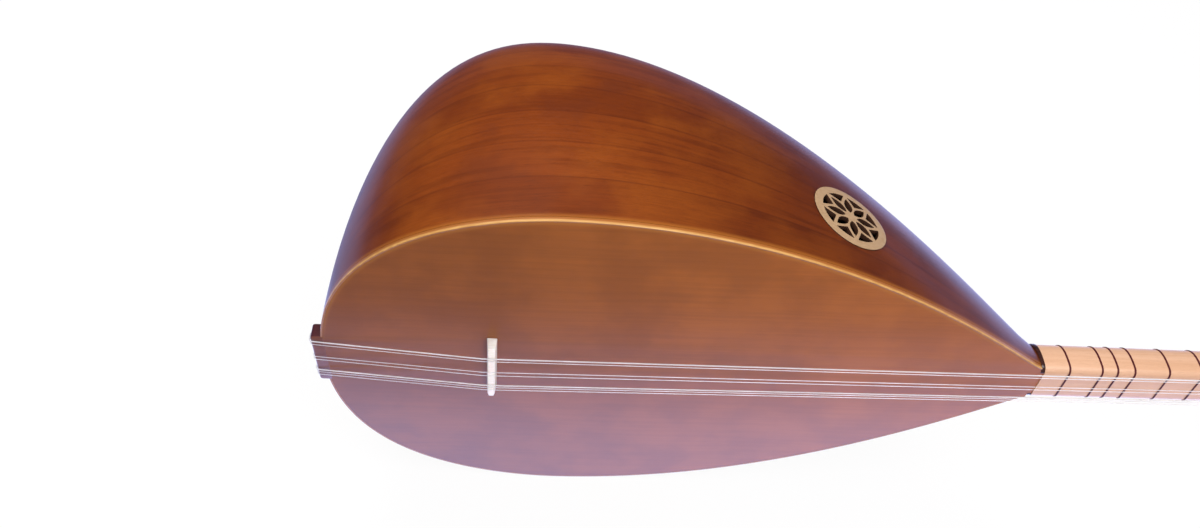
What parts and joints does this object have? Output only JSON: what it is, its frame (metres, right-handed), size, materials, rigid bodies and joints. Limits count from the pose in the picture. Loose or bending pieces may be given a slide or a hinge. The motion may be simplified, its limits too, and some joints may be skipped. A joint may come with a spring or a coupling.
{
  "type": "saz",
  "caption": "Short-necked long-bowl lute with a staved bowl, flat soundboard, tied movable frets, loose bridge and friction pegs.",
  "frame": {"origin": "middle of the bounding box's footprint, at the lowest point, with the saz on its treble edge as it is played and shown", "axes": "+X along the strings from tail to head, +Z across the face towards the bass side, +Y into the depth of the bowl, so the soundboard faces -Y"},
  "size_m": [0.9894, 0.2668, 0.259],
  "materials": {
    "bowl_wood": "reddish-brown mahogany strips under satin lacquer",
    "bowl_wood_light": "the next strip, a little lighter, same lacquer",
    "soundboard_wood": "brown stained spruce, satin",
    "edge_wood": "pale gold strip let in along the edge of the soundboard",
    "inner_wood": "raw pale wood inside the bowl",
    "rosette_wood": "pale maple, satin",
    "dark_wood": "near-black hardwood, satin",
    "neck_wood": "peach-coloured hardwood, satin lacquer",
    "bone": "white bone, lightly polished",
    "peg_wood": "dark turned hardwood, satin",
    "fret_cord": "dark maroon nylon cord, tied",
    "steel_wire": "bright plain steel wire",
    "wound_wire": "steel core wound with fine silvery wire"
  },
  "bodies": {
    "saz_body": {"stave_01": "bowl_wood", "staves_02_to_04": "bowl_wood_light", "stave_05": "bowl_wood", "stave_06": "bowl_wood_light", "stave_07": "bowl_wood", "stave_08": "bowl_wood_light", "stave_09": "bowl_wood", "staves_10_to_12": "bowl_wood_light", "stave_13": "bowl_wood", "stave_14": "bowl_wood_light", "stave_15": "bowl_wood", "stave_16": "bowl_wood_light", "stave_17": "bowl_wood", "staves_18_to_20": "bowl_wood_light", "stave_21": "bowl_wood", "rosette": "rosette_wood", "soundboard": "soundboard_wood", "edge_strip_bass": "edge_wood", "edge_strip_treble": "edge_wood", "soundboard_brace": "inner_wood", "neck_block": "inner_wood", "tail_block": "inner_wood", "joint_ring": "dark_wood", "neck": "neck_wood", "headstock": "neck_wood", "nut": "bone", "tailpiece": "dark_wood", "string_1": "wound_wire", "string_2": "steel_wire", "string_3": "steel_wire", "string_4": "steel_wire", "string_5": "wound_wire", "string_6": "steel_wire", "string_7": "steel_wire"},
    "peg_1_side": {"peg_1_side": "peg_wood"},
    "peg_2_side": {"peg_2_side": "peg_wood"},
    "peg_3_side": {"peg_3_side": "peg_wood"},
    "peg_4_front": {"peg_4_front": "peg_wood"},
    "peg_5_front": {"peg_5_front": "peg_wood"},
    "peg_6_front": {"peg_6_front": "peg_wood"},
    "peg_7_front": {"peg_7_front": "peg_wood"},
    "fret_01": {"fret_01": "fret_cord"},
    "fret_02": {"fret_02": "fret_cord"},
    "fret_03": {"fret_03": "fret_cord"},
    "fret_04": {"fret_04": "fret_cord"},
    "fret_05": {"fret_05": "fret_cord"},
    "fret_06": {"fret_06": "fret_cord"},
    "fret_07": {"fret_07": "fret_cord"},
    "fret_08": {"fret_08": "fret_cord"},
    "fret_09": {"fret_09": "fret_cord"},
    "fret_10": {"fret_10": "fret_cord"},
    "fret_11": {"fret_11": "fret_cord"},
    "fret_12": {"fret_12": "fret_cord"},
    "fret_13": {"fret_13": "fret_cord"},
    "fret_14": {"fret_14": "fret_cord"},
    "fret_15": {"fret_15": "fret_cord"},
    "fret_16": {"fret_16": "fret_cord"},
    "fret_17": {"fret_17": "fret_cord"},
    "fret_18": {"fret_18": "fret_cord"},
    "bridge": {"bridge": "bone"}
  },
  "joints": [
    {"name": "peg_1_side_turn", "type": "hinge", "parent": "saz_body", "child": "peg_1_side", "pos_m": [0.37056, -0.09058, 0.1435], "axis": [0, 0, 1], "range_deg": [-810, 45]},
    {"name": "peg_2_side_turn", "type": "hinge", "parent": "saz_body", "child": "peg_2_side", "pos_m": [0.4048, -0.0833, 0.14331], "axis": [0, 0, 1], "range_deg": [-810, 45]},
    {"name": "peg_3_side_turn", "type": "hinge", "parent": "saz_body", "child": "peg_3_side", "pos_m": [0.43903, -0.07603, 0.14295], "axis": [0, 0, 1], "range_deg": [-810, 45]},
    {"name": "peg_4_front_turn", "type": "hinge", "parent": "saz_body", "child": "peg_4_front", "pos_m": [0.35674, -0.10251, 0.1295], "axis": [0.2079, -0.9781, 0], "range_deg": [-810, 45]},
    {"name": "peg_5_front_turn", "type": "hinge", "parent": "saz_body", "child": "peg_5_front", "pos_m": [0.39098, -0.09524, 0.1295], "axis": [0.2079, -0.9781, 0], "range_deg": [-810, 45]},
    {"name": "peg_6_front_turn", "type": "hinge", "parent": "saz_body", "child": "peg_6_front", "pos_m": [0.42521, -0.08796, 0.1295], "axis": [0.2079, -0.9781, 0], "range_deg": [-810, 45]},
    {"name": "peg_7_front_turn", "type": "hinge", "parent": "saz_body", "child": "peg_7_front", "pos_m": [0.45945, -0.08068, 0.1295], "axis": [0.2079, -0.9781, 0], "range_deg": [-810, 45]},
    {"name": "fret_01_shift", "type": "slide", "parent": "saz_body", "child": "fret_01", "axis": [1, 0, 0], "range_m": [-0.003, 0.003]},
    {"name": "fret_02_shift", "type": "slide", "parent": "saz_body", "child": "fret_02", "axis": [1, 0, 0], "range_m": [-0.003, 0.003]},
    {"name": "fret_03_shift", "type": "slide", "parent": "saz_body", "child": "fret_03", "axis": [1, 0, 0], "range_m": [-0.003, 0.003]},
    {"name": "fret_04_shift", "type": "slide", "parent": "saz_body", "child": "fret_04", "axis": [1, 0, 0], "range_m": [-0.003, 0.003]},
    {"name": "fret_05_shift", "type": "slide", "parent": "saz_body", "child": "fret_05", "axis": [1, 0, 0], "range_m": [-0.003, 0.003]},
    {"name": "fret_06_shift", "type": "slide", "parent": "saz_body", "child": "fret_06", "axis": [1, 0, 0], "range_m": [-0.003, 0.003]},
    {"name": "fret_07_shift", "type": "slide", "parent": "saz_body", "child": "fret_07", "axis": [1, 0, 0], "range_m": [-0.003, 0.003]},
    {"name": "fret_08_shift", "type": "slide", "parent": "saz_body", "child": "fret_08", "axis": [1, 0, 0], "range_m": [-0.003, 0.003]},
    {"name": "fret_09_shift", "type": "slide", "parent": "saz_body", "child": "fret_09", "axis": [1, 0, 0], "range_m": [-0.003, 0.003]},
    {"name": "fret_10_shift", "type": "slide", "parent": "saz_body", "child": "fret_10", "axis": [1, 0, 0], "range_m": [-0.003, 0.003]},
    {"name": "fret_11_shift", "type": "slide", "parent": "saz_body", "child": "fret_11", "axis": [1, 0, 0], "range_m": [-0.003, 0.003]},
    {"name": "fret_12_shift", "type": "slide", "parent": "saz_body", "child": "fret_12", "axis": [1, 0, 0], "range_m": [-0.003, 0.003]},
    {"name": "fret_13_shift", "type": "slide", "parent": "saz_body", "child": "fret_13", "axis": [1, 0, 0], "range_m": [-0.003, 0.003]},
    {"name": "fret_14_shift", "type": "slide", "parent": "saz_body", "child": "fret_14", "axis": [1, 0, 0], "range_m": [-0.003, 0.003]},
    {"name": "fret_15_shift", "type": "slide", "parent": "saz_body", "child": "fret_15", "axis": [1, 0, 0], "range_m": [-0.003, 0.003]},
    {"name": "fret_16_shift", "type": "slide", "parent": "saz_body", "child": "fret_16", "axis": [1, 0, 0], "range_m": [-0.003, 0.003]},
    {"name": "fret_17_shift", "type": "slide", "parent": "saz_body", "child": "fret_17", "axis": [1, 0, 0], "range_m": [-0.003, 0.003]},
    {"name": "fret_18_shift", "type": "slide", "parent": "saz_body", "child": "fret_18", "axis": [1, 0, 0], "range_m": [-0.003, 0.003]},
    {"name": "bridge_shift", "type": "slide", "parent": "saz_body", "child": "bridge", "axis": [1, 0, 0], "range_m": [-0.003, 0.003]}
  ]
}
